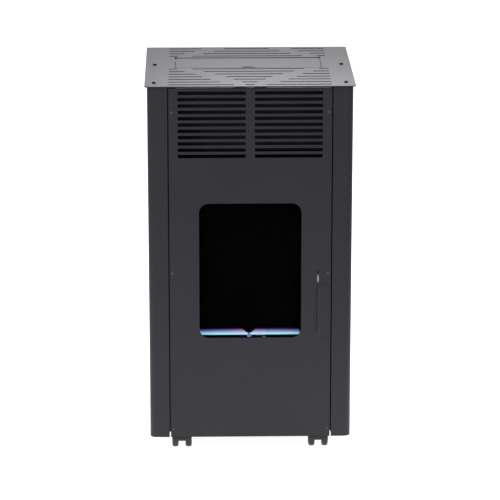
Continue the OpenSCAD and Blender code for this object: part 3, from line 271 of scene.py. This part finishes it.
# The pull's coat carries painted light on its free edge and upper slope
pull_coat = powder_coat("pull_powder_coat", ANTHRACITE, painted_light=pull_light_mask)
rubbed_coat = powder_coat("rubbed_powder_coat", (0.06, 0.06, 0.054), roughness=0.5)
inner_coat = powder_coat("inner_powder_coat", shade(ANTHRACITE, 0.9), roughness=0.5)
firebox_paint = heat_paint("firebox_heat_paint", (0.003, 0.003, 0.003))
hood_paint = heat_paint("hood_heat_paint", (0.016, 0.016, 0.017))
zinc = brushed_metal("zinc_plating", (0.4, 0.42, 0.45), 0.32)
blued_steel = brushed_metal("heat_blued_steel", (0.07, 0.12, 0.19), 0.5, along=(30, 1, 1))
brass = brushed_metal("turned_brass", (0.68, 0.47, 0.19), 0.3)
copper = brushed_metal("drawn_copper", (0.72, 0.36, 0.22), 0.34)
strike_steel = shaded_strike("strike_steel", (0.02, 0.022, 0.025), (0.42, 0.46, 0.51))
black_oxide = heat_paint("black_oxide_screws", (0.006, 0.006, 0.006))
ceramic = moulded_plastic("glazed_ceramic", (0.76, 0.74, 0.68), 0.22, grain=3 * MM, relief=0.02 * MM)
black_plastic = moulded_plastic("black_moulding", (0.012, 0.012, 0.013), 0.45)
caster_nylon = moulded_plastic("caster_nylon", (0.02, 0.02, 0.022), 0.4)
red_plastic = moulded_plastic("red_button", (0.42, 0.02, 0.012), 0.25, grain=4 * MM, relief=0.02 * MM)
tape = woven_tape("glass_fibre_tape", (0.3, 0.29, 0.27))
glass = tinted_glass("dark_window_glass")

FINISHES = {
    sheet_coat: ["top_plate", "side_panel_left", "side_panel_right", "rear_cover", "door_panel",
                 "control_flap"],
    pull_coat: ["door_pull"],
    inner_coat: ["base_tray", "bay_wall", "front_rail", "control_tray"],
    firebox_paint: ["firebox"],
    hood_paint: ["hot_air_hood"],
    zinc: ["hinge_bracket_lower", "hinge_bracket_upper", "door_hinge_pins", "glass_clips",
           "burner_feet", "pilot_bracket", "flap_pins", "valve_spindle"],
    blued_steel: ["burner_body", "burner_port_plate"],
    brass: ["injector", "pilot_burner", "gas_valve", "gas_inlet"],
    copper: ["gas_pipe", "pilot_pipe", "thermocouple"],
    strike_steel: ["door_strike"],
    black_oxide: ["top_screws"],
    ceramic: ["ignition_electrode"],
    black_plastic: ["magnet_catch", "control_knob", "piezo_igniter"],
    caster_nylon: [],
    red_plastic: ["igniter_button"],
    tape: ["window_seal"],
    glass: ["window_glass"],
}
CASTER_PIECES = {
    zinc: ["plate", "axle"],
    caster_nylon: ["hood", "wheel_left", "wheel_right"],
}
for corner in ("front_left", "front_right", "rear_left", "rear_right"):
    for finish, pieces in CASTER_PIECES.items():
        FINISHES[finish] += [f"{corner}_caster_{piece}" for piece in pieces]

for finish, names in FINISHES.items():
    for name in names:
        nodes[name].data.materials.clear()
        nodes[name].data.materials.append(finish)


# Rounded edges

THICK_SHEET_EDGE = 0.35 * MM
FRONT_SHEET_EDGE = 0.7 * MM
# Turns below this angle belong to one flat face, and turns above the other one are edges
FLAT_ANGLE = math.radians(1)
EDGE_ANGLE = math.radians(40)


def soften_edges(name, radius):
    """Breaks the sharp edges of a sheet, as its coat does."""
    node = nodes[name]
    node.modifiers.new("merge", "WELD").merge_threshold = 0.01 * MM
    planes = node.modifiers.new("planes", "DECIMATE")
    planes.decimate_type = "DISSOLVE"
    planes.angle_limit = FLAT_ANGLE
    bevel = node.modifiers.new("edge", "BEVEL")
    bevel.width = radius
    bevel.segments = 2
    bevel.limit_method = "ANGLE"
    bevel.angle_limit = EDGE_ANGLE
    bevel.use_clamp_overlap = True
    flat = node.modifiers.new("flat", "WEIGHTED_NORMAL")
    flat.mode = "FACE_AREA"
    flat.weight = 100


for sheet in ("top_plate", "control_flap", "rear_cover"):
    soften_edges(sheet, THICK_SHEET_EDGE)
for sheet in ("door_panel", "side_panel_left", "side_panel_right", "door_pull"):
    soften_edges(sheet, FRONT_SHEET_EDGE)


# Shapes that geometry nodes make

class Shape(Nodes):
    """A geometry node tree with named inputs for its sizes."""

    def __init__(self, name, **sizes):
        super().__init__(bpy.data.node_groups.new(name, "GeometryNodeTree"))
        face = self.tree.interface
        face.new_socket("Geometry", in_out="OUTPUT", socket_type="NodeSocketGeometry")
        self.sizes = {}
        for label, value in sizes.items():
            kind = "NodeSocketInt" if isinstance(value, int) else "NodeSocketFloat"
            socket = face.new_socket(label, in_out="INPUT", socket_type=kind)
            self.sizes[socket.identifier] = value
        self.given = self.node("NodeGroupInput").outputs
        self.out = self.node("NodeGroupOutput").inputs[0]

    def vector(self, x=0.0, y=0.0, z=0.0):
        return self.add("ShaderNodeCombineXYZ", X=x, Y=y, Z=z)

    def place(self):
        """The X, Y and Z of each point."""
        return self.axes(self.add("GeometryNodeInputPosition"))

    def finish(self, geometry, material, at):
        """Ends the tree and gives the plain mesh that it makes with its sizes, moved to its place."""
        real = self.add("GeometryNodeRealizeInstances", Geometry=geometry)
        self.feed(self.add("GeometryNodeSetMaterial", Geometry=real, Material=material), self.out)
        carrier = bpy.data.objects.new("carrier", bpy.data.meshes.new("carrier"))
        scene.collection.objects.link(carrier)
        modifier = carrier.modifiers.new("shape", "NODES")
        modifier.node_group = self.tree
        for identifier, value in self.sizes.items():
            modifier[identifier] = value
        ready = carrier.evaluated_get(bpy.context.evaluated_depsgraph_get())
        mesh = bpy.data.meshes.new_from_object(ready)
        bpy.data.objects.remove(carrier)
        mesh.materials.clear()
        mesh.materials.append(material)
        mesh.polygons.foreach_set("material_index", [0] * len(mesh.polygons))
        mesh.transform(Matrix.Translation(at))
        return mesh


def add_piece(name, mesh, body):
    piece = bpy.data.objects.new(name, mesh)
    scene.collection.objects.link(piece)
    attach(piece, body)
    return piece


# Flames

plate_low, plate_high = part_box("burner_port_plate")
pilot_low, pilot_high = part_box("pilot_burner")
FLAME_BASE = plate_high.z - 0.2 * MM
FLAME_HEIGHT = 16 * MM
PILOT_BASE = pilot_high.z - 1 * MM
PILOT_HEIGHT = 10 * MM
# Both flames stand a little to the left of the burner's middle, as in the photograph
FLAME_SHIFT = -2 * MM
# Distances from the middle between which the row turns from warm to cool, and between which it dims
COOLING = (10 * MM, 60 * MM)
DIMMING = (60 * MM, 100 * MM)
DIMMED = 0.42
# Length over which the row drifts between warm and cool, and how far it does
DRIFT_LENGTH = 25 * MM
DRIFT = 0.35
# Width of a flame against a plain cone: at its foot, its growth from there, and at its belly
FOOT_WIDTH = 0.75
SWELLING = 1.5
BELLY_WIDTH = 1.15
# The smallest tongue of the row against the tallest
LEAST_TONGUE = 0.86
TONGUE_SEED = 11
ROW_STRENGTH = 2.4
PILOT_STRENGTH = 2.2

# Stops from the foot of a flame to its tip: colours away from the middle and at the middle, and density
ROW_COOL = [(0.0, (0.34, 0.8, 0.8)), (0.16, (0.34, 0.8, 0.8)), (0.3, (0.3, 0.53, 0.72)),
            (0.44, (0.17, 0.25, 0.64)), (0.59, (0.18, 0.18, 0.5)), (0.73, (0.16, 0.11, 0.27)),
            (1.0, (0.1, 0.05, 0.08))]
ROW_WARM = [(0.0, (0.42, 0.8, 0.83)), (0.16, (0.42, 0.8, 0.83)), (0.3, (0.47, 0.54, 0.72)),
            (0.44, (0.4, 0.31, 0.66)), (0.59, (0.42, 0.21, 0.48)), (0.73, (0.36, 0.11, 0.22)),
            (1.0, (0.3, 0.05, 0.07))]
ROW_DENSITY = [(0.0, 1.0), (0.16, 1.0), (0.3, 0.95), (0.44, 0.8), (0.59, 0.6), (0.8, 0.25), (1.0, 0.0)]
PILOT_BLUE = [(0.0, (0.13, 0.28, 0.62)), (0.5, (0.17, 0.2, 0.55)), (1.0, (0.14, 0.12, 0.3))]
PILOT_DENSITY = [(0.0, 1.0), (0.6, 0.9), (1.0, 0.5)]


def flame_finish(name, base, height, cool, warm, density, strength):
    """Glowing gas. Its colour and density follow the height. It is warm at the middle, dim at the ends."""
    material = bpy.data.materials.new(name)
    material.use_nodes = True
    fire = Nodes(material.node_tree)
    fire.tree.nodes.clear()
    place = fire.axes(fire.node("ShaderNodeTexCoord").outputs["Object"])
    rise = fire.spread(place["Z"], 0, 1, base, base + height)
    off_middle = fire.math("ABSOLUTE", place["X"])
    drift = fire.node("ShaderNodeTexNoise", noise_dimensions="1D")
    fire.wire(drift, W=place["X"], Scale=1 / DRIFT_LENGTH)
    sway = fire.spread(drift.outputs["Fac"], -DRIFT, DRIFT, 0.35, 0.65)
    coolness = fire.math("ADD", fire.spread(off_middle, 0, 1, *COOLING), sway, clamp=True)
    hue = fire.mixed(coolness, fire.ramp(rise, warm), fire.ramp(rise, cool))
    level = fire.spread(off_middle, 1, DIMMED, *DIMMING)
    share = fire.math("MULTIPLY", fire.ramp(rise, density), level)
    glow = fire.add("ShaderNodeEmission", Color=hue, Strength=strength)
    clear = fire.add("ShaderNodeBsdfTransparent")
    gas = fire.node("ShaderNodeMixShader")
    for source, socket in zip((share, clear, glow), gas.inputs):
        fire.feed(source, socket)
    fire.wire(fire.node("ShaderNodeOutputMaterial"), Surface=gas.outputs[0])
    return material


def bellied(shape, cone, height):
    """The cone as a flame: its foot drawn in, its middle swollen."""
    x, y, z = shape.place()
    rise = shape.math("DIVIDE", z, height)
    width = shape.math("MULTIPLY_ADD", rise, SWELLING, FOOT_WIDTH)
    width = shape.math("MINIMUM", width, BELLY_WIDTH)
    wide = shape.math("MULTIPLY", x, width)
    deep = shape.math("MULTIPLY", y, width)
    return shape.add("GeometryNodeSetPosition", Geometry=cone, Position=shape.vector(wide, deep, z))


def flame_row():
    """A row of small flames at the front ends of the ports, in two halves that slope down to the middle."""
    shape = Shape("flame_row", Half_Length=(plate_high.x - plate_low.x) / 2 - 3 * MM, Web=5 * MM,
                  Pitch=5 * MM, Radius=5 * MM, Depth=2.5 * MM, Height=FLAME_HEIGHT, Slope=9 * MM)
    given = shape.given
    run = shape.math("SUBTRACT", given["Half_Length"], given["Web"])
    count = shape.math("FLOOR", shape.math("DIVIDE", run, given["Pitch"]))
    line = shape.add("GeometryNodeMeshLine", Count=count, Start_Location=shape.vector(given["Web"]),
                     Offset=shape.vector(given["Pitch"]))
    tongue = shape.add("GeometryNodeMeshCone", {"fill_type": "NGON"}, Vertices=10, Side_Segments=5,
                       Radius_Top=0.0, Radius_Bottom=1.0, Depth=1.0)
    along = shape.place()[0]
    full_at = shape.math("ADD", given["Web"], given["Slope"])
    climb = shape.math("MINIMUM", shape.math("DIVIDE", along, full_at), 1.0)
    flicker = shape.node("FunctionNodeRandomValue", data_type="FLOAT")
    shape.wire(flicker, Min=LEAST_TONGUE, Max=1.0, Seed=TONGUE_SEED)
    tall = shape.math("MULTIPLY", given["Height"], climb)
    tall = shape.math("MULTIPLY", tall, flicker.outputs["Value"])
    half = shape.add("GeometryNodeInstanceOnPoints", Points=line, Instance=bellied(shape, tongue, 1.0),
                     Scale=shape.vector(given["Radius"], given["Depth"], tall))
    other_half = shape.add("GeometryNodeTransform", Geometry=half, Rotation=(0, 0, math.pi))
    both = shape.node("GeometryNodeJoinGeometry")
    for part in (half, other_half):
        shape.feed(part, both.inputs[0])
    finish = flame_finish("gas_flame", FLAME_BASE, FLAME_HEIGHT, ROW_COOL, ROW_WARM,
                          ROW_DENSITY, ROW_STRENGTH)
    middle_x = (plate_low.x + plate_high.x) / 2 + FLAME_SHIFT
    return shape.finish(both.outputs[0], finish, (middle_x, plate_low.y, FLAME_BASE))


def pilot_cone():
    """One small pointed flame on the pilot burner, widest a little above its nozzle."""
    shape = Shape("pilot_flame", Radius=5.6 * MM, Height=PILOT_HEIGHT)
    given = shape.given
    cone = shape.add("GeometryNodeMeshCone", {"fill_type": "NGON"}, Vertices=16, Side_Segments=6,
                     Radius_Top=0.0, Radius_Bottom=given["Radius"], Depth=given["Height"])
    finish = flame_finish("pilot_flame", PILOT_BASE, PILOT_HEIGHT, PILOT_BLUE, PILOT_BLUE,
                          PILOT_DENSITY, PILOT_STRENGTH)
    middle = (pilot_low + pilot_high) / 2
    place = (middle.x + FLAME_SHIFT, middle.y, PILOT_BASE)
    return shape.finish(bellied(shape, cone, given["Height"]), finish, place)


add_piece("burner_flames", flame_row(), "cabinet")
add_piece("pilot_flame", pilot_cone(), "cabinet")


# Door marks

MARK_INSET = 6 * MM
MARK_RADIUS = 2.6 * MM
MARK_PROUD = 0.5 * MM
# From the door's lower edge to the lowest marks, and from its upper edge to the highest ones
LOWEST_MARK = 18 * MM
HIGHEST_MARK = 51 * MM


def weld_marks():
    """Shallow round marks where the stiffeners are spot-welded behind the door sheet."""
    low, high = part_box("door_panel")
    low_z = low.z + LOWEST_MARK
    high_z = high.z - HIGHEST_MARK
    shape = Shape("weld_marks", Columns=2, Rows=3, Width=high.x - low.x - 2 * MARK_INSET,
                  Height=high_z - low_z, Radius=MARK_RADIUS, Proud=MARK_PROUD)
    given = shape.given
    grid = shape.add("GeometryNodeMeshGrid", Size_X=given["Width"], Size_Y=given["Height"],
                     Vertices_X=given["Columns"], Vertices_Y=given["Rows"])
    points = shape.add("GeometryNodeTransform", Geometry=grid, Rotation=(math.pi / 2, 0, 0))
    dome = shape.add("GeometryNodeMeshUVSphere", Segments=20, Rings=8, Radius=1.0)
    marks = shape.add("GeometryNodeInstanceOnPoints", Points=points, Instance=dome,
                      Scale=shape.vector(given["Radius"], given["Proud"], given["Radius"]))
    return shape.finish(marks, rubbed_coat, ((low.x + high.x) / 2, low.y, (low_z + high_z) / 2))


marks = add_piece("door_weld_marks", weld_marks(), "door")


# Camera

AZIMUTH = -1.29
ELEVATION = 15.93
DISTANCE = 6.0
LENS = 197.8
SENSOR_WIDTH = 36.0
AIM = Vector((0.0037, 0.0, 0.3954))


def turn_to(thing, direction):
    """Turns a camera or lamp to look in the direction."""
    thing.rotation_mode = "QUATERNION"
    thing.rotation_quaternion = direction.to_track_quat("-Z", "Y")


def add_camera():
    data = bpy.data.cameras.new("camera")
    data.lens = LENS
    data.sensor_width = SENSOR_WIDTH
    camera = bpy.data.objects.new("camera", data)
    scene.collection.objects.link(camera)
    side = math.radians(AZIMUTH)
    up = math.radians(ELEVATION)
    back = Vector((math.sin(side) * math.cos(up), -math.cos(side) * math.cos(up), math.sin(up)))
    camera.location = AIM + back * DISTANCE
    turn_to(camera, -back)
    scene.camera = camera


add_camera()


# Studio

FLOOR_REACH = 12.0
FLOOR_NEAR = (0.92, 0.92, 0.93)
FLOOR_FAR = (0.42, 0.42, 0.44)
# Distances from the heater between which the floor turns from the near colour to the far one
FLOOR_TURN = (0.4, 3.6)
# Glow of the floor to the camera, and in mirror images of it, where it ends between two distances
FLOOR_SEEN = 0.93
FLOOR_MIRRORED = 0.78
MIRRORED_END = (0.3, 1.8)
# Strength of the world as light, and where it is seen or mirrored
WORLD_LIGHT = 0.55
WORLD_SEEN = 1.0

# Name, width and height, place, point that it faces, power in watts
LAMPS = [
    ("key", (1.6, 1.6), (-1.6, -2.4, 2.6), (0, 0, 0.4), 55),
    ("top", (2.0, 1.2), (0.3, 1.2, 2.6), (0, 0, 0.7), 40),
    ("rim", (0.5, 0.15), (0.08, 0.48, 1.35), (0.03, -0.2, 0.8), 4.6),
]


def add_lamp(name, size, place, aim, power):
    data = bpy.data.lights.new(name, "AREA")
    data.shape = "RECTANGLE"
    data.size, data.size_y = size
    data.energy = power
    lamp = bpy.data.objects.new(name, data)
    scene.collection.objects.link(lamp)
    lamp.location = place
    turn_to(lamp, Vector(aim) - Vector(place))


def add_floor():
    """Pale floor, greyer far from the heater. It looks white to the camera and keeps a faint shadow."""
    corners = [(x * FLOOR_REACH, y * FLOOR_REACH, 0) for x, y in ((-1, -1), (1, -1), (1, 1), (-1, 1))]
    mesh = bpy.data.meshes.new("floor")
    mesh.from_pydata(corners, [], [(0, 1, 2, 3)])
    floor = bpy.data.objects.new("floor", mesh)
    scene.collection.objects.link(floor)
    paint = Finish("pale_floor", FLOOR_NEAR, 0.9, Specular_IOR_Level=0.0, Emission_Color=WHITE)
    away = paint.wire(paint.node("ShaderNodeVectorMath", operation="LENGTH"), Vector=paint.place)
    distance = away.outputs["Value"]
    paint.vary_colour(distance, FLOOR_NEAR, FLOOR_FAR, *FLOOR_TURN)
    path = paint.node("ShaderNodeLightPath").outputs
    near = paint.spread(distance, FLOOR_MIRRORED, 0.0, *MIRRORED_END)
    mirrored = paint.math("MULTIPLY", path["Is Glossy Ray"], near)
    glow = paint.math("MULTIPLY_ADD", path["Is Camera Ray"], FLOOR_SEEN, mirrored)
    paint.feed(glow, paint.shader.inputs["Emission Strength"])
    mesh.materials.append(paint.material)


def light_world():
    """Even white surroundings: full white to the camera, mirrored and through glass, softer as light."""
    world = bpy.data.worlds.new("studio")
    scene.world = world
    world.use_nodes = True
    sky = Nodes(world.node_tree)
    path = sky.node("ShaderNodeLightPath").outputs
    seen = sky.math("MAXIMUM", path["Is Camera Ray"], path["Is Glossy Ray"])
    seen = sky.math("MAXIMUM", seen, path["Is Transmission Ray"])
    strength = sky.spread(seen, WORLD_LIGHT, WORLD_SEEN, 0, 1)
    sky.wire(sky.tree.nodes["Background"], Strength=strength, Color=WHITE)


add_floor()
light_world()
for lamp in LAMPS:
    add_lamp(*lamp)

scene.view_settings.view_transform = "Standard"
